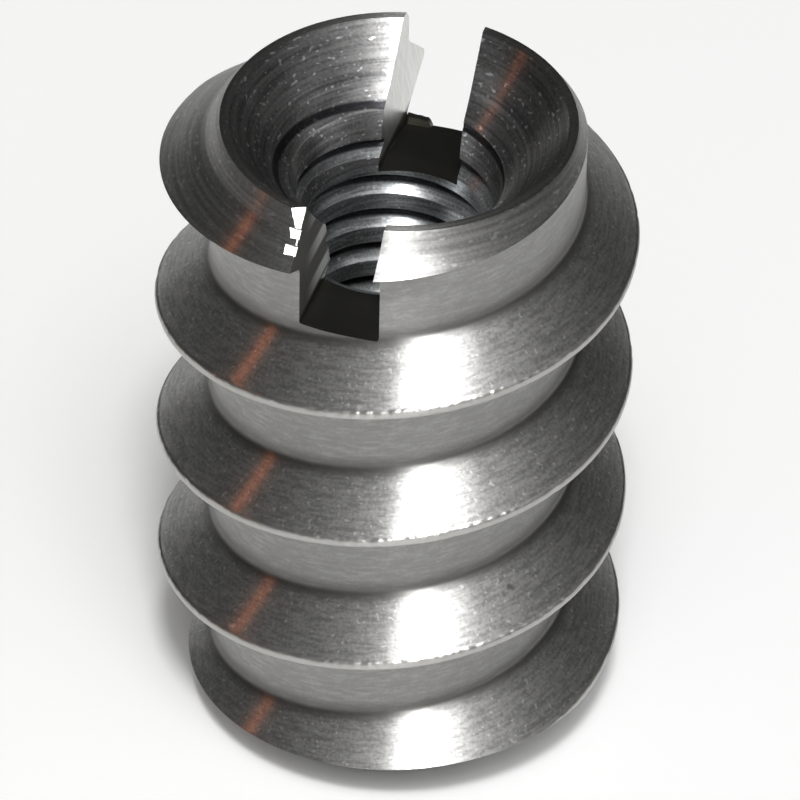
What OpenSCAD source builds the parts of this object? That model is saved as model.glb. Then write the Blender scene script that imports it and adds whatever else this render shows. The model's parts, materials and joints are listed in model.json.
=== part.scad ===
// Slotted threaded insert for wood.
// It stands on its lead-in end: +Z runs up the bore to the slotted end,
// and the origin is the middle of the lead-in end's face.
// The drive slot runs along Y. Lengths are in millimetres, angles in degrees.

/* [Body] */
// Length over both end faces
length = 21; // [16:0.5:32]
// Diameter between the threads, which is also that of the plain core
root_d = 10.9; // [10.4:0.1:12]

/* [Wood thread] */
// Diameter over the crests
crest_d = 14.2; // [13.4:0.1:18]
// Rise of the thread in one turn
thread_pitch = 4.85; // [4.2:0.05:8]
// Width of the flat that is left on the crest
crest_land = 0.22; // [0.15:0.01:0.5]
// Slope of the flank that faces the slotted end, from the level
upper_flank_angle = 41; // [30:1:50]
// Slope of the flank that faces the lead-in end, from the level
lower_flank_angle = 30; // [10:1:35]
// Height of the crest's upper edge where it first crosses the +X side
thread_start = 2.35; // [0:0.05:4.8]

/* [Slotted end] */
// Mouth diameter of the countersink
countersink_d = 9.8; // [7.5:0.05:10]
// Included angle of the countersink
countersink_angle = 82; // [60:1:120]
// Width of the flat ring round the countersink
top_land = 0.27; // [0.1:0.01:0.35]
// Width of the steep bevel next to that ring
rim_bevel = 0.4; // [0.1:0.05:0.6]
// Slope of that bevel, from the level
rim_bevel_angle = 55; // [46:1:70]
// Slope of the outer chamfer, from the level
top_chamfer_angle = 42; // [25:1:60]

/* [Lead-in end] */
// Diameter of the lead-in end's face
lead_in_d = 10.3; // [8.5:0.1:10.7]
// Slope of the lead-in chamfer, from the level
lead_in_angle = 45; // [25:1:60]
// Depth of the small chamfer where the bore leaves this end
bore_chamfer = 0.4; // [0.2:0.05:0.8]

/* [Drive slot] */
// Width of the slot
slot_w = 2.4; // [1:0.05:4]
// Depth of the slot below the slotted end's face
slot_depth = 4; // [2.5:0.1:7]
// How far the slot's middle lies from the bore's axis, along X
slot_offset = -0.1; // [-0.4:0.05:0.4]

/* [Bore] */
// Diameter of the bore, which is the machine thread's minor diameter
bore_d = 5.4; // [4:0.05:6.8]

/* [Hidden] */
steel = [0.66, 0.65, 0.63];
clearance_cut = 1;              // how far a cutter runs on past the face it opens
steps_per_turn = 60;            // straight pieces in one turn of the thread
bury = 0.6;                     // depth of the ridge's foot inside the core
fine = 96;                      // segments of the round surfaces

crest_r = crest_d / 2;
root_r = root_d / 2;
bore_r = bore_d / 2;
mouth_r = countersink_d / 2;
rim_r = mouth_r + top_land;
countersink_h = (mouth_r - bore_r) / tan(countersink_angle / 2);
bevel_r = rim_r + rim_bevel;
bevel_h = rim_bevel * tan(rim_bevel_angle);
top_chamfer_h = (crest_r - bevel_r) * tan(top_chamfer_angle);
lead_in_h = (crest_r - lead_in_d / 2) * tan(lead_in_angle);

// The ridge's section is given by its flanks, as heights above the crest's
// upper edge at a radius r. It runs a little past the crest diameter, where
// the turned envelope cuts it back and leaves the crest land.
flank_spread = tan(upper_flank_angle) + tan(lower_flank_angle);
ridge_r = crest_r + 0.4 * crest_land / flank_spread;
foot_r = root_r - bury;
function upper_flank(r) = (crest_r - r) * tan(upper_flank_angle);
function lower_flank(r) = -crest_land - (crest_r - r) * tan(lower_flank_angle);

// The ridge starts below the lead-in face and ends above the slotted one.
first_step = floor((-thread_start - upper_flank(foot_r)) / thread_pitch * steps_per_turn) - 1;
last_step = ceil((length - thread_start - lower_flank(foot_r)) / thread_pitch * steps_per_turn) + 1;
ring_count = last_step - first_step + 1;

// One corner of the section, turned and lifted along the right-hand helix.
function on_helix(step, r, h) =
    let (a = 360 * step / steps_per_turn)
    [r * cos(a), r * sin(a), thread_start + thread_pitch * step / steps_per_turn + h];

// The four corners go round the section: foot, crest, crest, foot.
function ring(step) = [
    on_helix(step, foot_r, lower_flank(foot_r)),
    on_helix(step, ridge_r, lower_flank(ridge_r)),
    on_helix(step, ridge_r, upper_flank(ridge_r)),
    on_helix(step, foot_r, upper_flank(foot_r))
];

module thread_ridge() {
    corners = [for (step = [first_step : last_step]) each ring(step)];
    sides = [
        for (i = [0 : ring_count - 2], j = [0 : 3])
            let (a = 4 * i + j, b = 4 * i + (j + 1) % 4)
            each [[a, b, b + 4], [a, b + 4, a + 4]]
    ];
    last = 4 * (ring_count - 1);
    ends = [[0, 2, 1], [0, 3, 2], [last, last + 1, last + 2], [last, last + 2, last + 3]];
    polyhedron(points = corners, faces = concat(sides, ends), convexity = 8);
}

// The bar as it would be turned before the thread: lead-in chamfer, crest, outer chamfer and bevel.
module turned_envelope() {
    rotate_extrude($fn = fine)
        polygon([
            [0, 0],
            [lead_in_d / 2, 0],
            [crest_r, lead_in_h],
            [crest_r, length - bevel_h - top_chamfer_h],
            [bevel_r, length - bevel_h],
            [rim_r, length],
            [0, length]
        ]);
}

module threaded_blank() {
    intersection() {
        turned_envelope();
        union() {
            translate([0, 0, -clearance_cut])
                cylinder(r = root_r, h = length + 2 * clearance_cut, $fn = fine);
            thread_ridge();
        }
    }
}

// The bore, its countersink and the small chamfer at the far end, as one turned cutter.
module bored_hole() {
    widen = clearance_cut * tan(countersink_angle / 2);
    rotate_extrude($fn = fine)
        polygon([
            [0, -clearance_cut],
            [bore_r + bore_chamfer + clearance_cut, -clearance_cut],
            [bore_r, bore_chamfer],
            [bore_r, length - countersink_h],
            [mouth_r + widen, length + clearance_cut],
            [0, length + clearance_cut]
        ]);
}

module drive_slot() {
    translate([slot_offset - slot_w / 2, -crest_d, length - slot_depth])
        cube([slot_w, 2 * crest_d, slot_depth + clearance_cut]);
}

module threaded_insert() {
    color(steel)
        difference() {
            threaded_blank();
            bored_hole();
            drive_slot();
        }
}

threaded_insert();
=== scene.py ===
import json
import math

import bpy
import numpy as np
from mathutils import Matrix, Vector


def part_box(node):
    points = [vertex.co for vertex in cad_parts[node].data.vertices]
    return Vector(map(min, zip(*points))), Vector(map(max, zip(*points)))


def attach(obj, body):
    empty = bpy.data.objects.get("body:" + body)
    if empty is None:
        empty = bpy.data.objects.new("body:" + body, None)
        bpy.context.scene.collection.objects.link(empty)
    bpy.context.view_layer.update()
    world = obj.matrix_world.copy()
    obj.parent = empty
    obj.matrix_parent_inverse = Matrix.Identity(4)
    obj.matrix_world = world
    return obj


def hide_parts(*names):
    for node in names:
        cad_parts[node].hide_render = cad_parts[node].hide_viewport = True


# Slotted threaded insert of bare turned steel, standing on its lead-in end.
# Shapes are worked out in millimetres about the bore's axis and put into the meshes in metres.

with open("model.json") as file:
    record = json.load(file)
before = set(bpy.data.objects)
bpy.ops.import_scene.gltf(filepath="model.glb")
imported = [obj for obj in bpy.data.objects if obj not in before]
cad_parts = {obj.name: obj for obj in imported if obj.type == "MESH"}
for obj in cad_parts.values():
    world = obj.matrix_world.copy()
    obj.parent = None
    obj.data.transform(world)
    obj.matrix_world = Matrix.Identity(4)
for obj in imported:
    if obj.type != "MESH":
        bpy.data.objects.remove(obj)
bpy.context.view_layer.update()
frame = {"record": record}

mm = 0.001
micrometre = 1e-6
highCorner = np.array(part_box("threaded_insert")[1]) / mm
mounts = {mount["name"]: mount for mount in frame["record"]["mounts"]}

insert = {
    "length": highCorner[2],
    "crestRadius": highCorner[0],
    "boreRadius": mounts["machine_thread"]["dims"]["r_mm"],
    "rootRadius": 5.45,        # of the plain core between the threads
    "edgeBreak": 0.035,        # rounding that is left on a deburred edge
    "sharpAngle": 27,          # degrees, steeper folds than this stay crisp
    "overrun": 1,              # how far a cutter runs on past the face it opens
}


def unit(vector):
    return vector / np.linalg.norm(vector)


# An arc in a corner: its centre lies on the corner's bisector, radius / sin(half angle) away,
# and its points swing from square to the first side to square to the second.
def cornerArc(before, corner, after, radius, steps):
    toBefore, toAfter = unit(before - corner), unit(after - corner)
    half = 0.5 * math.acos(np.clip(toBefore @ toAfter, -1, 1))
    bisector, across = unit(toBefore + toAfter), unit(toBefore - toAfter)
    centre = corner + bisector * radius / math.sin(half)
    swing = np.linspace(math.pi / 2 - half, half - math.pi / 2, steps + 1)[:, None]
    return centre + radius * (np.sin(swing) * across - np.cos(swing) * bisector)


# A polyline through rows of (across, up, rounding), with arcs at its rounded corners and
# extra points wherever a straight stretch is longer than the given step.
def outline(corners, step, arcSteps=5, closed=False):
    corners = np.array(corners, float)
    places, rounding = corners[:, :2], corners[:, 2]
    count = len(places)
    pieces = []
    for i in range(count):
        if rounding[i] > 0:
            after = places[(i + 1) % count]
            pieces.append(cornerArc(places[i - 1], places[i], after, rounding[i], arcSteps))
        else:
            pieces.append(places[i:i + 1])
    line = np.concatenate(pieces)
    if closed:
        line = np.concatenate([line, line[:1]])
    runs = np.hypot(*np.diff(line, axis=0).T)
    shares = np.maximum(1, np.ceil(runs / step)).astype(int)
    marks = np.concatenate([[0], np.cumsum(1 / np.repeat(shares, shares))])
    dense = np.stack([np.interp(marks, np.arange(len(line)), line[:, axis]) for axis in (0, 1)], axis=1)
    return dense[:-1] if closed else dense


# One object from a table of points in millimetres and tables of triangles, quads or larger faces.
def makeObject(name, points, *faceTables, material=None):
    mesh = bpy.data.meshes.new(name)
    corners = np.concatenate([table.ravel() for table in faceTables]).astype(np.int32)
    sizes = np.concatenate([np.full(len(table), table.shape[1]) for table in faceTables])
    mesh.vertices.add(len(points))
    mesh.vertices.foreach_set("co", (points * mm).astype(np.float32).ravel())
    mesh.loops.add(len(corners))
    mesh.loops.foreach_set("vertex_index", corners)
    mesh.polygons.add(len(sizes))
    mesh.polygons.foreach_set("loop_start", (np.cumsum(sizes) - sizes).astype(np.int32))
    mesh.update(calc_edges=True)
    if material:
        mesh.materials.append(material)
    piece = bpy.data.objects.new(name, mesh)
    bpy.context.scene.collection.objects.link(piece)
    return piece


# (radius, angle, height) tables to (x, y, z) points: x = r cos a, y = r sin a.
def roundAxis(radius, angle, height):
    return np.stack([radius * np.cos(angle), radius * np.sin(angle), height + 0 * angle], axis=-1)


# A solid of revolution: point (i, j) lies at angle 2 pi i / steps on outline point j.
# The outline runs up the outside, and its first and last points lie on the axis.
def lathe(name, line, steps, material=None):
    angle = np.linspace(0, 2 * math.pi, steps, endpoint=False)[:, None]
    rings = roundAxis(line[None, 1:-1, 0], angle, line[None, 1:-1, 1]).reshape(-1, 3)
    rows = len(line) - 2
    poles = np.array([[0, 0, line[0, 1]], [0, 0, line[-1, 1]]])
    low, high = len(rings), len(rings) + 1
    here = np.arange(steps) * rows
    there = np.roll(here, -1)
    up = np.arange(rows - 1)[:, None]
    quads = np.stack([here + up, there + up, there + up + 1, here + up + 1], axis=-1).reshape(-1, 4)
    lowFan = np.stack([there, here, np.full(steps, low)], axis=-1)
    highFan = np.stack([here + rows - 1, there + rows - 1, np.full(steps, high)], axis=-1)
    return makeObject(name, np.concatenate([rings, poles]), quads, lowFan, highFan, material=material)


# A screw solid: point (i, j) lies at angle 2 pi i / steps, at the radius of outline point j and at
# its height plus pitch i / steps. The outline covers one pitch, so after a whole turn its top row
# is the bottom row of the turn above. The two ends are fans to the axis.
# wear(radius, angle) may change the radii before the points are placed.
def screw(name, line, pitch, start, turns, steps, wear=None, material=None):
    last = int(round(turns * steps))
    rows = len(line)
    turn = np.arange(last + steps + 1)[:, None]
    radius = np.broadcast_to(line[None, :, 0], (len(turn), rows)).copy()
    angle = np.broadcast_to(2 * math.pi * turn / steps, radius.shape)
    height = start + line[None, :, 1] + pitch * turn / steps
    if wear:
        radius = wear(radius, angle)
    grid = roundAxis(radius, angle, height)
    points = np.concatenate([grid[:last + 1].reshape(-1, 3), grid[last + 1:, 0]])

    def at(i, j):
        wraps = j == rows
        ring, row = np.where(wraps, i + steps, i), np.where(wraps, 0, j)
        return np.where(ring <= last, ring * rows + row, (last + 1) * rows + ring - last - 1)

    i, j = np.arange(last)[:, None], np.arange(rows)[None, :]
    quads = np.stack([at(i, j), at(i + 1, j), at(i + 1, j + 1), at(i, j + 1)], axis=-1).reshape(-1, 4)
    around, upward = np.arange(steps), np.arange(rows)
    bottom, top = len(points), len(points) + 1
    ends = [
        (at(around + 1, 0), at(around, 0), bottom),
        (at(0 * upward, upward), at(0 * upward, upward + 1), bottom),
        (at(last + around, 0 * around), at(last + around + 1, 0 * around), top),
        (at(last + 0 * upward, upward + 1), at(last + 0 * upward, upward), top),
    ]
    fans = np.concatenate([np.stack([a, b, np.full(len(a), axis)], axis=-1) for a, b, axis in ends])
    poles = np.array([[0, 0, points[:, 2].min() - pitch], [0, 0, points[:, 2].max() + pitch]])
    return makeObject(name, np.concatenate([points, poles]), quads, fans, material=material)


# A bar along Y: the closed outline in X and Z, run from one end to the other and raised by lift(y).
def barAlongY(name, line, low, high, steps, lift, material=None):
    count = len(line)
    along = np.linspace(low, high, steps + 1)[:, None]
    points = np.stack([line[None, :, 0] + 0 * along, along + 0 * line[None, :, 0],
                       line[None, :, 1] + lift(along)], axis=-1).reshape(-1, 3)
    here = np.arange(count)
    there = np.roll(here, -1)
    row = np.arange(steps)[:, None] * count
    quads = np.stack([row + here, row + here + count, row + there + count, row + there], axis=-1)
    caps = np.stack([here, here[::-1] + steps * count])
    return makeObject(name, points, quads.reshape(-1, 4), caps, material=material)


# A block turned in space: its eight corners are centre + a along + b outward + c across, where across
# is square to both, and a, b and c run from the low to the high end of each given range.
def turnedBlock(name, centre, along, outward, ranges, material=None):
    outward = unit(outward)
    along = unit(along - (along @ outward) * outward)
    axes = np.stack([along, outward, np.cross(along, outward)])
    corner = np.arange(8)[:, None] // [1, 2, 4] % 2
    spread = np.where(corner, np.array(ranges)[:, 1], np.array(ranges)[:, 0])
    faces = np.array([[0, 2, 3, 1], [4, 5, 7, 6], [0, 1, 5, 4], [2, 6, 7, 3], [0, 4, 6, 2], [1, 3, 7, 5]])
    return makeObject(name, centre + spread @ axes, faces, material=material)


# Takes a tool away from a piece, joins it on, or keeps only what both share.
def combine(piece, tool, operation):
    change = piece.modifiers.new(operation.lower(), "BOOLEAN")
    change.operation, change.solver, change.object = operation, "MANIFOLD", tool
    change.material_mode = "TRANSFER"
    graph = bpy.context.evaluated_depsgraph_get()
    made = bpy.data.meshes.new_from_object(piece.evaluated_get(graph))
    piece.modifiers.clear()
    piece.data = made
    bpy.data.objects.remove(tool)


# Turns the whole surface smooth, and keeps every fold steeper than the given angle crisp.
def smoothBetweenEdges(piece, degrees):
    piece.data.shade_smooth()
    piece.data.set_sharp_from_angle(angle=math.radians(degrees))


# A socket in a shader, with arithmetic: an expression on sockets and numbers adds its Math nodes.
class Signal:
    def __init__(self, tree, socket=None):
        self.tree, self.socket = tree, socket

    # Adds any node: its settings first, then the values or links of its sockets by name or number.
    def node(self, kind, settings=None, inputs=None, output=0):
        made = self.tree.nodes.new(kind)
        for name, value in (settings or {}).items():
            setattr(made, name, value)
        for key, value in (inputs or {}).items():
            if isinstance(value, Signal):
                self.tree.links.new(value.socket, made.inputs[key])
            else:
                made.inputs[key].default_value = value
        return Signal(self.tree, made.outputs[output])

    def sibling(self, output):
        return Signal(self.tree, self.socket.node.outputs[output])

    def math(self, operation, *values):
        return self.node("ShaderNodeMath", {"operation": operation}, dict(enumerate(values or (self,))))

    def __add__(self, other):
        return self.math("ADD", self, other)

    def __sub__(self, other):
        return self.math("SUBTRACT", self, other)

    def __rsub__(self, other):
        return self.math("SUBTRACT", other, self)

    def __mul__(self, other):
        return self.math("MULTIPLY", self, other)

    def __truediv__(self, other):
        return self.math("DIVIDE", self, other)

    def __pow__(self, other):
        return self.math("POWER", self, other)

    __radd__ = __add__
    __rmul__ = __mul__


# 0 below the low value and 1 above the high one, with a smooth rise between them; low may exceed high.
def rise(value, low, high):
    turned = low > high
    first, last = (high, low) if turned else (low, high)
    made = value.node("ShaderNodeMapRange", {"interpolation_type": "SMOOTHSTEP"},
                      {"Value": value, "From Min": first, "From Max": last})
    return 1 - made if turned else made


# The low colour where share is 0 and the high one where it is 1. Each is a signal or red, green and
# blue. The mixing node's sockets for colours are its inputs 6 and 7 and its output 2.
def mixColours(share, low, high):
    low, high = (value if isinstance(value, Signal) else (*value, 1) for value in (low, high))
    return share.node("ShaderNodeMix", {"data_type": "RGBA"}, {0: share, 6: low, 7: high}, output=2)


# Where a point of the insert lies, in millimetres: across, radius, cosine and sine of its angle,
# share of a turn, and height.
def insertPlaces(tree):
    here = Signal(tree).node("ShaderNodeTexCoord", output="Object")
    x = here.node("ShaderNodeSeparateXYZ", None, {"Vector": here}, output="X")
    across, along, height = x / mm, x.sibling("Y") / mm, x.sibling("Z") / mm
    radius = (across * across + along * along) ** 0.5
    turn = along.math("ARCTAN2", along, across) / (2 * math.pi)
    return {"across": across, "along": along, "height": height, "radius": radius,
            "cosine": across / radius, "sine": along / radius, "turn": turn}


# Height above the line of a helix, which starts over at each turn.
def heightAboveHelix(place, pitch, start):
    return ((place["height"] - start) / pitch - place["turn"]).math("FRACT") * pitch


# Noise drawn out round the bore: fine across the turning marks, and stretched along them.
# first and second are the two directions across the marks, in millimetres.
def turnedNoise(place, first, second, perMm, roundTurn, detail=2.0):
    vector = first.node("ShaderNodeCombineXYZ", None, {
        "X": first * perMm, "Y": second * perMm, "Z": place["cosine"] * roundTurn})
    return first.node("ShaderNodeTexNoise", {"noise_dimensions": "4D"}, {
        "Vector": vector, "W": place["sine"] * roundTurn, "Scale": 1.0, "Detail": detail})


# Noise that is as fine in every direction.
def grainNoise(place, perMm, detail=1.0):
    here = place["across"].node("ShaderNodeCombineXYZ", None, {
        "X": place["across"], "Y": place["along"], "Z": place["height"]})
    return here.node("ShaderNodeTexNoise", None, {"Vector": here, "Scale": perMm, "Detail": detail})


# A soft spot round a point on the insert: 1 inside, and fading out at its radius, which the given
# signal makes ragged.
def spot(place, centre, radius, ragged):
    square = sum((place[name] - value) * (place[name] - value)
                 for name, value in zip(("across", "along", "height"), centre))
    return rise(square ** 0.5 + ragged, radius, 0.6 * radius)


def newMaterial(name):
    material = bpy.data.materials.new(name)
    material.use_nodes = True
    return material


# How light the colour is, from marks and grain together: 0 dark, 1 light.
def lightness(marks, grain, steel):
    mixed = (1 - steel["grainShare"]) * marks + steel["grainShare"] * grain
    return rise(mixed, *steel["contrast"])


# The slow changes in a metal's gloss, from one patch of the surface to the next.
def patchyRoughness(place, steel):
    return steel["roughness"] + steel["dullness"] * (grainNoise(place, steel["dullPerMm"]) - 0.5)


# Joins a metal's varying colour, roughness and surface height to its shader.
# height is a signal of about 0 to 1, and 1 stands for relief micrometres of real height.
# A quarter turn of the stretched gloss lays it across marks that run round the bore.
def finish(material, colour, roughness, height, steel):
    tree = material.node_tree
    shader = tree.nodes["Principled BSDF"]
    shader.inputs["Metallic"].default_value = steel["metal"]
    shader.inputs["Anisotropic"].default_value = steel.get("stretch", 0)
    shader.inputs["Anisotropic Rotation"].default_value = 0.25
    bump = height.node("ShaderNodeBump", None, {
        "Distance": steel["relief"] * micrometre, "Height": height})
    tree.links.new(colour.socket, shader.inputs["Base Color"])
    tree.links.new(roughness.socket, shader.inputs["Roughness"])
    tree.links.new(bump.socket, shader.inputs["Normal"])


# The outside: a coarse right-hand thread on a plain core
woodThread = {
    "pitch": 4.85,
    "start": 2.35,             # height of a crest's upper edge on the +X side
    "crestLand": 0.22,
    "upperFlank": 41,          # degrees from the level, facing the slotted end
    "lowerFlank": 30,
    "rootFillet": 0.28,
    "crestRound": 0.15,
    "spacing": 0.32,           # longest straight stretch between two points of its outline
    "steps": 288,              # points in one turn
    "turnsBelow": 2,           # turns that are swept below the lead-in face and then cut away
    "spareTurns": 2.3,         # turns swept beyond those that fill the length
    "nicksPerTurn": 45,
    "nickDepth": 0.03,
    "nickDepths": (0.1, 1.0),  # shares of that depth, before they are squared
    "nickWidth": 0.11,
    "nickWidths": (0.4, 1.8),  # shares of that width
    "waver": 0.008,            # how far the crest's radius wanders
    "wavers": 6,               # sine waves that make up this wandering
    "slowestWaver": 3.3,       # radians of the slowest one for each radian round the thread
    "waverStep": 2.7,          # radians more for each next one
    "wearReach": 0.12,         # how far below the crest the wear fades out
    "seed": 7,
}


# One pitch of the section, upward from the foot of an upper flank: core, lower flank, crest, upper flank.
def woodThreadOutline(thread):
    proud = insert["crestRadius"] - insert["rootRadius"]
    upper = proud * math.tan(math.radians(thread["upperFlank"]))
    lower = proud * math.tan(math.radians(thread["lowerFlank"]))
    root, crest, land = insert["rootRadius"], insert["crestRadius"], thread["crestLand"]
    corners = [
        (crest, -thread["pitch"], 0),
        (root, upper - thread["pitch"], thread["rootFillet"]),
        (root, -land - lower, thread["rootFillet"]),
        (crest, -land, thread["crestRound"]),
        (crest, 0, thread["crestRound"]),
        (root, upper, 0),
    ]
    line = outline(corners, thread["spacing"])
    middle = line[:, 1] >= -thread["pitch"] + 0.5 * upper
    over = line[:, 1] < 0.5 * upper
    return line[middle & over]


# Small dents along the crest: Gaussian dips at seeded places, fading out a little below the crest.
def crestWear(thread, turns):
    rng = np.random.default_rng(thread["seed"])
    count = int(turns * thread["nicksPerTurn"])
    places = rng.uniform(0, turns * 2 * math.pi, count)
    widths = thread["nickWidth"] / insert["crestRadius"] * rng.uniform(*thread["nickWidths"], count)
    depths = thread["nickDepth"] * rng.uniform(*thread["nickDepths"], count) ** 2
    waves = rng.uniform(0, 2 * math.pi, thread["wavers"])

    def wear(radius, angle):
        along = angle[:, :1]
        dips = (np.exp(-((along - places) / widths) ** 2) * depths).sum(axis=1, keepdims=True)
        paces = [thread["slowestWaver"] + thread["waverStep"] * k for k in range(len(waves))]
        swell = sum(np.sin(along * pace + wave) for pace, wave in zip(paces, waves)) / len(waves)
        reach = thread["wearReach"]
        near = np.clip((radius - insert["crestRadius"] + reach) / reach, 0, 1)
        return radius - near * (dips + thread["waver"] * (1 + swell))

    return wear


# The turned bar's ends: lead-in chamfer below, chamfer and steep bevel above, clear of the crests between.
envelope = {
    "leadInRadius": 5.15,
    "leadInAngle": 45,
    "mouthRadius": 4.9,
    "topLand": 0.27,
    "bevel": 0.4,              # width of the steep bevel next to the top land
    "bevelAngle": 55,
    "bevelRound": 0.6,         # rounding where it meets the outer chamfer
    "topAngle": 42,
    "clearance": 0.05,         # room left between the bar and the crests
    "spacing": 0.4,
    "steps": 360,
}


def turnedEnvelope(shape, material):
    wide = insert["crestRadius"] + shape["clearance"]
    rim = shape["mouthRadius"] + shape["topLand"]
    bevelRadius = rim + shape["bevel"]
    bevelHeight = shape["bevel"] * math.tan(math.radians(shape["bevelAngle"]))
    leadInHeight = (wide - shape["leadInRadius"]) * math.tan(math.radians(shape["leadInAngle"]))
    topHeight = (wide - bevelRadius) * math.tan(math.radians(shape["topAngle"]))
    line = outline([
        (0, 0, 0),
        (shape["leadInRadius"], 0, insert["edgeBreak"]),
        (wide, leadInHeight, 0),
        (wide, insert["length"] - bevelHeight - topHeight, 0),
        (bevelRadius, insert["length"] - bevelHeight, shape["bevelRound"]),
        (rim, insert["length"], insert["edgeBreak"]),
        (0, insert["length"], 0),
    ], shape["spacing"])
    return lathe("envelope", line, shape["steps"], material)


# The inside: a fine right-hand machine thread, its countersink and a small chamfer at the far end
machineThread = {
    "pitch": 1.27,
    "majorRadius": 3.175,
    "flankAngle": 30,          # degrees from square to the bore
    "rootFlat": 0.16,
    "ridgeRound": 0.02,
    "rootRound": 0.03,
    "arcSteps": 2,
    "spacing": 0.2,
    "start": -2.3,             # height of a ridge's middle on the +X side
    "steps": 120,
    "turnsBelow": 2,
    "spareTurns": 2,
}
countersink = {
    "angle": 82,               # both sides together, in degrees
    "throatRadius": 3.12,      # where the cone gives way to a slow taper that trims the first threads
    "throatAngle": 14,         # degrees from the bore's axis
    "throatRound": 0.1,
    "footDepth": 0.03,         # the taper ends this far inside the bore's wall
    "hollow": 0.06,            # how far the cone sags below a straight line
    "hollowShare": 0.3,        # where it sags most, from the throat to the mouth
    "hollowRound": 0.8,
    "farChamfer": 0.4,
    "spacing": 0.4,
    "farSpacing": 0.6,
    "steps": 360,
}
driveSlot = {
    "width": 2.4,
    "depth": 4.0,
    "offset": -0.1,            # the slot's middle lies a little off the bore, along X
    "floorFillet": 0.06,
    "spacing": 0.5,
    "steps": 80,
    "levelTo": 3.4,            # the floor is level this far from the bore's axis
    "climb": 0.11,             # rise for each millimetre from there to the front end
    "fall": 0.16,              # drop for each millimetre from there to the back end
}
# Flats that a deburring stroke left on the slot's front left edge: each one's middle along Y,
# its height, its length and its depth
edgeFlats = {
    "places": ((-4.98, 20.99, 0.34, 0.17), (-5.36, 20.52, 0.30, 0.15), (-5.70, 20.17, 0.30, 0.15),
               (-5.30, 20.57, 1.50, 0.05)),
    "along": (0, -0.74, -0.67),
    "outward": (0.32, -0.62, 0.74),
    "halfWidth": 0.7,          # reach of a cutter to either side of the edge
}
# The burr that the cutter pushed up where it left the slot's back end
exitBurr = {
    "from": 0.0,               # its ends, counted from the slot's left wall
    "to": 0.78,
    "near": 5.22,              # its faces, counted from the bore's axis
    "far": 5.42,
    "foot": 16.5,              # heights above the lead-in face
    "top": 16.98,
    "raggedness": 0.02,
    "fall": 0.25,              # how far its top drops towards the right end
    "fallPower": 9,            # power of the share of its length that this drop follows
    "points": 12,
    "seed": 5,
}


# A cutter for the grooves: one pitch upward from the middle of a ridge, whose top it leaves at the
# bore's radius.
def boreThreadCutter(thread, material):
    bore, major, pitch = insert["boreRadius"], thread["majorRadius"], thread["pitch"]
    half = 0.5 * thread["rootFlat"]
    flank = (major - bore) * math.tan(math.radians(thread["flankAngle"]))
    line = outline([
        (bore, 0, 0),
        (bore, pitch / 2 - half - flank, thread["ridgeRound"]),
        (major, pitch / 2 - half, thread["rootRound"]),
        (major, pitch / 2 + half, thread["rootRound"]),
        (bore, pitch / 2 + half + flank, thread["ridgeRound"]),
        (bore, pitch, 0),
    ], thread["spacing"], thread["arcSteps"])[:-1]
    turns = (insert["length"] - thread["start"]) / pitch + thread["spareTurns"]
    start = thread["start"] - thread["turnsBelow"] * pitch
    return screw("boreThread", line, pitch, start, turns, thread["steps"], material=material)


# A cutter for the countersink, and one for the chamfer at the far end. Both run on past the faces
# that they open.
def countersinkCutter(sink, material):
    slope, over = math.tan(math.radians(sink["angle"] / 2)), insert["overrun"]
    mouth, throat = envelope["mouthRadius"], sink["throatRadius"]
    foot = insert["boreRadius"] - sink["footDepth"]
    throatHeight = insert["length"] - (mouth - throat) / slope
    footHeight = throatHeight - (throat - foot) / math.tan(math.radians(sink["throatAngle"]))
    between = throat + sink["hollowShare"] * (mouth - throat)
    betweenHeight = throatHeight + sink["hollowShare"] * (mouth - throat) / slope
    line = outline([
        (0, footHeight, 0),
        (foot, footHeight, 0),
        (throat, throatHeight, sink["throatRound"]),
        (between + sink["hollow"], betweenHeight - sink["hollow"], sink["hollowRound"]),
        (mouth, insert["length"], 0),
        (mouth + over * slope, insert["length"] + over, 0),
        (0, insert["length"] + over, 0),
    ], sink["spacing"])
    return lathe("countersink", line, sink["steps"], material)


def farChamferCutter(sink, material):
    wide, over = insert["boreRadius"] + sink["farChamfer"], insert["overrun"]
    line = outline([
        (0, -over, 0),
        (wide + over, -over, 0),
        (0, wide, 0),
    ], sink["farSpacing"])
    return lathe("farChamfer", line, sink["steps"], material)


# A cutter for the drive slot, whose floor slopes off towards the front and the back.
def slotCutter(slot, material):
    left, right = slot["offset"] - slot["width"] / 2, slot["offset"] + slot["width"] / 2
    floor, top = insert["length"] - slot["depth"], insert["length"] + insert["overrun"]
    line = outline([
        (left, floor, slot["floorFillet"]),
        (right, floor, slot["floorFillet"]),
        (right, top, 0),
        (left, top, 0),
    ], slot["spacing"], closed=True)
    reach = insert["crestRadius"] + insert["overrun"]

    def lift(along):
        front, back = np.maximum(0, -along - slot["levelTo"]), np.maximum(0, along - slot["levelTo"])
        return (line[None, :, 1] < top) * (slot["climb"] * front - slot["fall"] * back)

    return barAlongY("driveSlot", line, -reach, reach, slot["steps"], lift, material)


# Cutters that take the deburring flats off the slot's left edge.
def edgeFlatCutters(flats, slot, material):
    left = slot["offset"] - slot["width"] / 2
    along, outward = np.array(flats["along"], float), np.array(flats["outward"], float)
    for y, z, length, depth in flats["places"]:
        ranges = ((-length / 2, length / 2), (-depth, insert["overrun"]),
                  (-flats["halfWidth"], flats["halfWidth"]))
        yield turnedBlock("edgeFlat", np.array([left, y, z]), along, outward, ranges, material)


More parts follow.
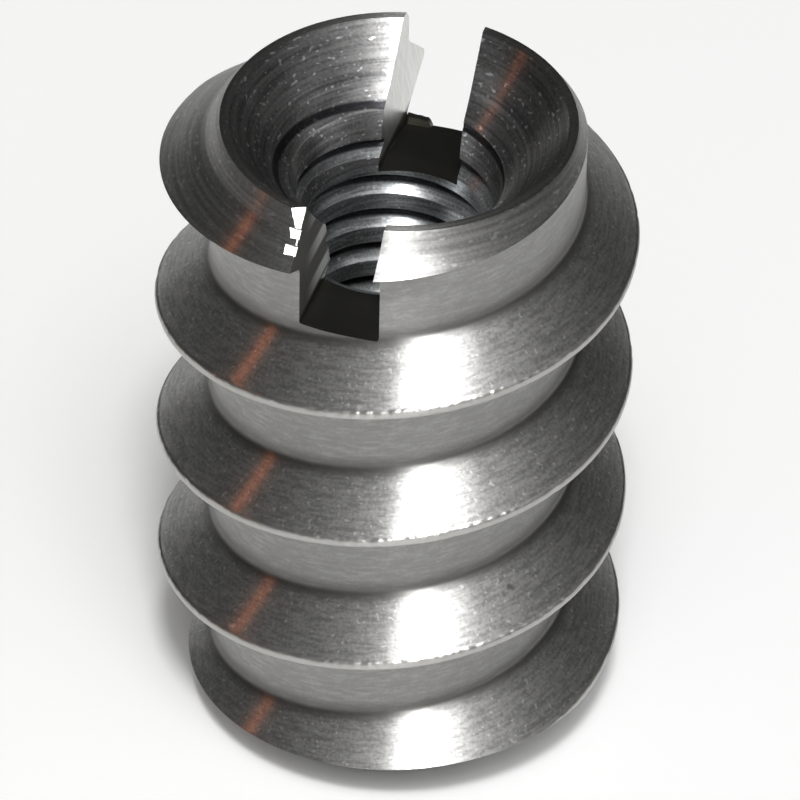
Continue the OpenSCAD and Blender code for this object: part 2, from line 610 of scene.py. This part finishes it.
# A strip along the floor's back edge: level below, and on top a ragged line of seeded heights that
# drops with a power of the share of its length.
def exitBurrStrip(burr, slot, material):
    left, count = slot["offset"] - slot["width"] / 2, burr["points"]
    rng = np.random.default_rng(burr["seed"])
    x = np.linspace(left + burr["from"], left + burr["to"], count)
    ragged = burr["top"] + burr["raggedness"] * rng.uniform(-1, 1, count)
    ragged = ragged - burr["fall"] * np.linspace(0, 1, count) ** burr["fallPower"]
    line = np.concatenate([np.stack([x, np.full(count, burr["foot"])], axis=1),
                           np.stack([x, ragged], axis=1)[::-1]])
    return barAlongY("exitBurr", line, burr["near"], burr["far"], 2, lambda along: 0 * along, material)


# What all the turned surfaces share
turnedSteel = {
    "roughness": 0.30,
    "dullness": 0.06,          # how much this changes, slowly, over the surface
    "dullPerMm": 0.5,
    "metal": 0.95,
    "contrast": (0.32, 0.68),  # noise levels at which the marks are at their darkest and lightest
}
# The coarse thread and the core: fine marks round the part under a grainy speckle.
# A range such as crestFade gives the two places between which something fades in.
threadSteel = {
    **turnedSteel,
    "dark": (0.30, 0.297, 0.29),
    "light": (0.52, 0.515, 0.505),
    "marksPerMm": 10.0,
    "marksRound": 12.0,        # noise cells for each unit of the sine of the angle round the part
    "grainPerMm": 10.0,
    "grainShare": 0.4,         # share of the grain in the colour, the rest being the marks
    "core": (0.30, 0.297, 0.287),
    "coreFade": (0.25, 0.05),                # above the core's radius
    "coreShares": (1.2, 0.9),                # share of its colour, and how much of that the marks take
    # Painted shade: a dark band where each flank rises from the core, in place of the shade in that
    # crevice
    "crevice": (0.12, 0.117, 0.11),
    "creviceShare": 0.7,
    "creviceFade": (0.45, 0.02),             # above the core's radius
    "creviceAbove": (0.95, 1.35),            # above the helix, where it fades in
    "creviceBelow": (1.95, 1.45),            # and where it fades out again
    "crest": (0.50, 0.49, 0.47),
    "crestFade": (0.12, 0.03),               # below the crest's radius
    "speck": (0.95, 0.95, 0.95),
    "specks": 0.4,             # how far a speck's colour is mixed in
    "speckPerMm": 7.5,
    "speckRise": (0.70, 0.80),
    "beadsPerMm": 4.5,
    "relief": 0.3,
    "grainRelief": 0.3,        # times the relief of the marks, and so is the next one
    "crestRelief": 120.0,
    "stretch": 0.96,
    "bruise": (0.13, 0.125, 0.12),
    "darkRub": (4.91, -3.84, 7.44),          # where a rub mark lies on a flank
    "rubRadius": 0.58,
    "rubRagged": 0.8,
    "rubShare": 0.7,
    "scuffs": ((4.86, 3.60, 8.60), (4.15, 3.80, 9.05), (4.50, 3.72, 8.80)),
    "scuffRadius": 0.42,
    "scuffRagged": 0.5,
    "scuffShare": 0.6,
}
# Surfaces whose marks are plain rings
ringedSteel = {
    **turnedSteel,
    "grainShare": 0.3,
    "ringRelief": 0.8,
    "grainRelief": 0.3,
    "speckRadius": 2.5,        # distance from the axis at which a speck is round, and not drawn out
    "speckRise": (0.66, 0.78),
    "residue": (0.02, 0.02, 0.025),
    "residueShare": 0.9,
}
# The cone and the bevel, turned by a tool's point: clean rings, one feed apart
coneSteel = {
    **ringedSteel,
    "dark": (0.24, 0.237, 0.233),
    "light": (0.42, 0.415, 0.405),
    "speck": (0.90, 0.90, 0.92),
    "specks": 0.3,
    "ringsPerMm": 9.0,
    "ringsRound": 1.6,
    "grainPerMm": 10.0,
    "speckPerMm": 9.0,
    "relief": 0.2,
    "stretch": 0.96,
}
# The countersink, darker and dotted with bright chatter marks
mouthSteel = {
    **ringedSteel,
    "dark": (0.16, 0.158, 0.157),
    "light": (0.38, 0.377, 0.375),
    "speck": (0.95, 0.95, 0.97),
    "specks": 0.7,
    "ringsPerMm": 10.0,
    "ringsRound": 1.8,
    "grainPerMm": 10.0,
    "speckPerMm": 10.0,
    "relief": 0.8,
    "stretch": 0.94,
    "line": 3.87,              # radius of the one deeper tool line in it
    "lineFade": (0.05, 0.01),                # to either side of that radius
    "lineShare": 0.35,
    "runOut": 3.74,            # where the machine thread's last scratch fades out
    "runOutLength": 0.1,
    "runOutFade": (0.12, 0.06),              # above and below the scratch's middle
}
# The machine thread, cut clean and a little cold in tone
boreSteel = {
    **ringedSteel,
    "dark": (0.25, 0.26, 0.265),
    "light": (0.64, 0.66, 0.67),
    "speck": (0.95, 0.95, 0.97),
    "specks": 0.6,
    "ringsPerMm": 12.0,
    "ringsRound": 2.0,
    "grainPerMm": 12.0,
    "speckPerMm": 11.0,
    "relief": 1.2,
    "stretch": 0.88,
    "deep": (2.99, 3.09),      # radii between which the groove roots are painted near black: painted shade, with dark residue
}
# The deburring flats, rubbed bright
flatSteel = dict(coneSteel, dark=(0.56, 0.56, 0.54), light=(0.66, 0.66, 0.64), roughness=0.42, stretch=0)
# Milled by the slot's cutter: pale walls with faint slanting marks, and a dark floor whose colour also
# paints shade on the walls' foot
slotSteel = {
    "dark": (0.62, 0.62, 0.60),
    "light": (0.76, 0.76, 0.74),
    "contrast": (0.3, 0.7),
    "floor": (0.10, 0.098, 0.085),
    "marksPerMm": 9.0,
    "marksAlong": 1.4,
    "slant": 0.35,
    "roughness": 0.30,
    "markDullness": 0.05,      # added where the marks are palest
    "relief": 2.0,
    "metal": 0.95,
    "foot": (17.15, 17.45),    # below these heights the walls take the floor's dark colour: painted shade at their foot
    "upright": (0.4, 0.8),     # sideways lean of the surface at which it counts as a wall
    "stained": (0.17, 0.165, 0.15),          # the front part of the left wall, coloured darker
    "stainFront": (-2.3, -2.7),
    "stainLeft": (-0.9, -1.1),
    "stainDullness": 0.3,      # added where that part is darker
    "ridgeFade": (0.30, 0.45),               # height from a groove's middle at which a painted glint shows where a thread ends
    "ridgeReach": (5.0, 3.4),                # radii between which the painted glint comes in, from the outside
}


# Height to either side of the middle of the machine thread's groove.
def fromGroove(place):
    groove = heightAboveHelix(place, machineThread["pitch"], machineThread["start"])
    return (groove - 0.5 * machineThread["pitch"]).math("ABSOLUTE")


# The coarse thread: marks and grain, a plain core, painted shade in the crevices where the flanks rise
# from it, bright crests with small bumps, and the rub and the scuffs.
def threadFinish(steel):
    material = newMaterial("coarse_thread")
    place = insertPlaces(material.node_tree)
    above = heightAboveHelix(place, woodThread["pitch"], woodThread["start"])
    marks = turnedNoise(place, place["radius"], above, steel["marksPerMm"], steel["marksRound"])
    grain = grainNoise(place, steel["grainPerMm"])
    specks = rise(grainNoise(place, steel["speckPerMm"], 0), *steel["speckRise"])
    beads = grainNoise(place, steel["beadsPerMm"], 0)
    crest = rise(place["radius"], *(insert["crestRadius"] - depth for depth in steel["crestFade"]))
    core = rise(place["radius"], *(insert["rootRadius"] + reach for reach in steel["coreFade"]))
    # Painted shade in the crevice at each flank's foot: near the core's radius, in a band above the helix
    crevice = rise(place["radius"], *(insert["rootRadius"] + reach for reach in steel["creviceFade"]))
    crevice = crevice * rise(above, *steel["creviceAbove"]) * rise(above, *steel["creviceBelow"])
    rub = spot(place, steel["darkRub"], steel["rubRadius"], beads * steel["rubRagged"])
    colour = mixColours(lightness(marks, grain, steel), steel["dark"], steel["light"])
    most, lessened = steel["coreShares"]
    colour = mixColours(core * (most - lessened * marks), colour, steel["core"])
    colour = mixColours(specks * (steel["specks"] - steel["specks"] * core), colour, steel["speck"])
    colour = mixColours(rub * steel["rubShare"], colour, steel["bruise"])
    for centre in steel["scuffs"]:
        scuff = spot(place, centre, steel["scuffRadius"], beads * steel["scuffRagged"])
        colour = mixColours(scuff * steel["scuffShare"], colour, steel["speck"])
    # The painted crevice shade goes over the marks, specks, rub and scuffs
    colour = mixColours(crevice * steel["creviceShare"], colour, steel["crevice"])
    colour = mixColours(crest, colour, steel["crest"])
    height = marks + steel["grainRelief"] * grain + crest * (steel["crestRelief"] * beads)
    finish(material, colour, patchyRoughness(place, steel), height, steel)
    return material


# The cone, the countersink and the machine thread, whose marks are plain rings. The countersink has one
# deeper line and the end of the machine thread's groove; the machine thread's groove roots hold painted
# shade with dark residue.
def ringFinish(name, steel):
    material = newMaterial(name)
    place = insertPlaces(material.node_tree)
    rings = turnedNoise(place, place["radius"], place["height"], steel["ringsPerMm"], steel["ringsRound"])
    grain = grainNoise(place, steel["grainPerMm"])
    specks = rise(turnedNoise(place, place["radius"], place["height"], steel["speckPerMm"],
                              steel["speckRadius"] * steel["speckPerMm"], 0), *steel["speckRise"])
    colour = mixColours(lightness(rings, grain, steel), steel["dark"], steel["light"])
    colour = mixColours(specks * steel["specks"], colour, steel["speck"])
    if "line" in steel:
        away = (place["radius"] - steel["line"]).math("ABSOLUTE")
        colour = mixColours(rise(away, *steel["lineFade"]) * steel["lineShare"], colour, steel["residue"])
        runOut = rise(place["radius"], steel["runOut"], steel["runOut"] - steel["runOutLength"])
        runOut = runOut * rise(fromGroove(place), *steel["runOutFade"])
        colour = mixColours(runOut * steel["residueShare"], colour, steel["residue"])
    if "deep" in steel:
        # Painted shade with dark residue: the groove roots under the ridges' overhang turn near black
        deep = rise(place["radius"], *steel["deep"])
        colour = mixColours(deep * steel["residueShare"], colour, steel["residue"])
    height = steel["ringRelief"] * rings + steel["grainRelief"] * grain
    finish(material, colour, patchyRoughness(place, steel), height, steel)
    return material


# The drive slot. The surface's own direction tells its walls from its floor.
def slotFinish(steel):
    material = newMaterial("milled_slot")
    place = insertPlaces(material.node_tree)
    facing = place["across"].node("ShaderNodeTexCoord", output="Normal")
    sideways = facing.node("ShaderNodeSeparateXYZ", None, {"Vector": facing}, output="X").math("ABSOLUTE")
    leaning = place["along"] + place["height"] * steel["slant"]
    vector = leaning.node("ShaderNodeCombineXYZ", None, {
        "X": place["across"] * steel["marksPerMm"], "Y": leaning * steel["marksPerMm"],
        "Z": place["height"] * steel["marksAlong"]})
    marks = vector.node("ShaderNodeTexNoise", None, {"Vector": vector, "Scale": 1.0, "Detail": 2.0})
    paleness = rise(marks, *steel["contrast"])
    # The front part of the left wall is coloured darker
    stained = rise(place["along"], *steel["stainFront"]) * rise(place["across"], *steel["stainLeft"])
    # Painted glints: pale patches on the darker wall where the machine thread's crests end
    threadEndGlint = rise(fromGroove(place), *steel["ridgeFade"]) * rise(place["radius"], *steel["ridgeReach"])
    # Painted shade: below the foot heights the walls take the floor's dark colour
    wall = rise(sideways, *steel["upright"]) * rise(place["height"], *steel["foot"])
    walls = mixColours(paleness, steel["dark"], steel["light"])
    walls = mixColours(stained, walls, steel["stained"])
    walls = mixColours(stained * threadEndGlint, walls, steel["light"])
    colour = mixColours(wall, steel["floor"], walls)
    roughness = steel["roughness"] + steel["markDullness"] * paleness
    roughness = roughness + steel["stainDullness"] * stained * wall
    finish(material, colour, roughness, marks, steel)
    return material


# The core with its thread, swept past both ends, which the turned bar's shape then cuts off.
def threadedBar(thread, material):
    turns = insert["length"] / thread["pitch"] + thread["spareTurns"]
    start = thread["start"] - thread["turnsBelow"] * thread["pitch"]
    return screw("insert_body", woodThreadOutline(thread), thread["pitch"], start, turns, thread["steps"],
                 wear=crestWear(thread, turns), material=material)


body = threadedBar(woodThread, threadFinish(threadSteel))
print("thread swept:", len(body.data.polygons), "faces")
mouth, milled = ringFinish("countersunk_mouth", mouthSteel), slotFinish(slotSteel)
flats = ringFinish("deburred_flats", flatSteel)
combine(body, turnedEnvelope(envelope, ringFinish("turned_cone", coneSteel)), "INTERSECT")
combine(body, boreThreadCutter(machineThread, ringFinish("tapped_bore", boreSteel)), "DIFFERENCE")
combine(body, countersinkCutter(countersink, mouth), "DIFFERENCE")
combine(body, farChamferCutter(countersink, mouth), "DIFFERENCE")
combine(body, slotCutter(driveSlot, milled), "DIFFERENCE")
for cutter in edgeFlatCutters(edgeFlats, driveSlot, flats):
    combine(body, cutter, "DIFFERENCE")
combine(body, exitBurrStrip(exitBurr, driveSlot, milled), "UNION")
smoothBetweenEdges(body, insert["sharpAngle"])
print("body cut:", len(body.data.polygons), "faces,", [slot.name for slot in body.material_slots])

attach(body, "root")
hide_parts("threaded_insert")

# The camera looks down at the insert from in front, a little to the right
viewpoint = {
    "azimuth": 16.2,
    "elevation": 40.24,
    "roll": 1.28,
    "distance": 179.42,
    "lens": 270,
    "sensor": 36,
    "clip": (0.01, 10),        # metres
    "aimHeight": 10.42,
    "aimAside": 0.204,
}


# The unit vector towards a direction given by its azimuth and elevation: a lamp's, or the camera's.
def towards(azimuth, elevation):
    azimuth, elevation = math.radians(azimuth), math.radians(elevation)
    return Vector((math.sin(azimuth) * math.cos(elevation), -math.cos(azimuth) * math.cos(elevation),
                   math.sin(elevation)))


# The camera's axes point right, up and back, away from a point beside the bore's axis.
def placeCamera(view):
    azimuth, roll = math.radians(view["azimuth"]), math.radians(view["roll"])
    back = towards(view["azimuth"], view["elevation"])
    levelRight = Vector((math.cos(azimuth), math.sin(azimuth), 0))
    levelUp = back.cross(levelRight)
    right = levelRight * math.cos(roll) + levelUp * math.sin(roll)
    up = levelUp * math.cos(roll) - levelRight * math.sin(roll)
    aim = Vector((0, 0, view["aimHeight"])) + levelRight * view["aimAside"]
    camera = bpy.data.objects.new("camera", bpy.data.cameras.new("camera"))
    camera.data.lens = view["lens"]
    camera.data.sensor_width = view["sensor"]
    camera.data.clip_start, camera.data.clip_end = view["clip"]
    turned = Matrix((right, up, back)).transposed().to_4x4()
    camera.matrix_world = Matrix.Translation((aim + back * view["distance"]) * mm) @ turned
    bpy.context.scene.collection.objects.link(camera)
    bpy.context.scene.camera = camera


placeCamera(viewpoint)
print("camera placed")

# A white table in a dim room, with a soft glow round the main lamps
room = {
    "tableRadius": 400,
    "tableCorners": 96,
    "table": (0.895, 0.90, 0.893),
    "tableRoughness": 0.6,
    "tableSpecular": 0.2,
    "tableGlow": 0.04,         # what the camera and the steel see besides the lamps' own light
    "walls": 0.02,
    "glowAzimuth": 29,         # counted from straight in front towards the right, in degrees
    "glowElevation": 58,
    "broadGlow": 0.55,
    "nearGlow": 1.8,
    "broadFade": 3,            # powers of the cosine of the angle from the glow's middle
    "nearFade": 16,
}
# A key lamp with a wider and fainter halo, and a small warm lamp far round to the left.
# Azimuths are counted as above, and sizes are in millimetres.
lamps = {
    "key": {"azimuth": 19, "elevation": 64, "distance": 600, "size": 90, "power": 1.7,
            "colour": (1, 1, 1)},
    "halo": {"azimuth": 24, "elevation": 64, "distance": 600, "size": 270, "power": 0.95,
             "colour": (1, 1, 1)},
    "warm": {"azimuth": -75, "elevation": 36.5, "distance": 320, "size": 5, "power": 0.0085,
             "colour": (1, 0.28, 0.08)},
}


# The table glows faintly, but only for the camera and for what the steel mirrors.
def makeTable(setting):
    count = setting["tableCorners"]
    angle = np.linspace(0, 2 * math.pi, count, endpoint=False)
    ring = roundAxis(np.full(count, float(setting["tableRadius"])), angle, 0 * angle)
    material = newMaterial("table")
    table = makeObject("table", ring, np.arange(count)[None, :], material=material)
    tree = material.node_tree
    path = Signal(tree).node("ShaderNodeLightPath", output="Is Camera Ray")
    seen = path.math("MAXIMUM", path, path.sibling("Is Glossy Ray"))
    seen = seen.math("MAXIMUM", seen, path.sibling("Is Transmission Ray"))
    shader = tree.nodes["Principled BSDF"]
    shader.inputs["Base Color"].default_value = (*setting["table"], 1)
    shader.inputs["Roughness"].default_value = setting["tableRoughness"]
    shader.inputs["Specular IOR Level"].default_value = setting["tableSpecular"]
    shader.inputs["Emission Strength"].default_value = 1
    glow = mixColours(seen * setting["tableGlow"], (0, 0, 0), (1, 1, 1))
    tree.links.new(glow.socket, shader.inputs["Emission Color"])


# The room's light by direction: dim walls, plus two powers of the cosine of the angle from the glow.
def makeRoom(setting):
    world = bpy.data.worlds.new("room")
    bpy.context.scene.world = world
    world.use_nodes = True
    here = Signal(world.node_tree).node("ShaderNodeTexCoord", output="Generated")
    middle = towards(setting["glowAzimuth"], setting["glowElevation"])
    cosine = here.node("ShaderNodeVectorMath", {"operation": "DOT_PRODUCT"}, {0: here, 1: middle},
                       output="Value")
    cosine = cosine.math("MAXIMUM", cosine, 0)
    level = setting["walls"] + setting["broadGlow"] * cosine ** setting["broadFade"]
    level = level + setting["nearGlow"] * cosine ** setting["nearFade"]
    world.node_tree.links.new(level.socket, world.node_tree.nodes["Background"].inputs["Color"])


# A round lamp that faces the insert's foot.
def placeLamp(name, setting):
    direction = towards(setting["azimuth"], setting["elevation"])
    lamp = bpy.data.objects.new(name, bpy.data.lights.new(name, "AREA"))
    lamp.data.shape = "DISK"
    lamp.data.size = setting["size"] * mm
    lamp.data.energy = setting["power"]
    lamp.data.color = setting["colour"]
    lamp.location = direction * setting["distance"] * mm
    lamp.rotation_mode = "QUATERNION"
    lamp.rotation_quaternion = direction.to_track_quat("Z", "Y")
    bpy.context.scene.collection.objects.link(lamp)


makeTable(room)
makeRoom(room)
for name, setting in lamps.items():
    placeLamp(name, setting)
bpy.context.scene.view_settings.view_transform = "Standard"
print("room lit")
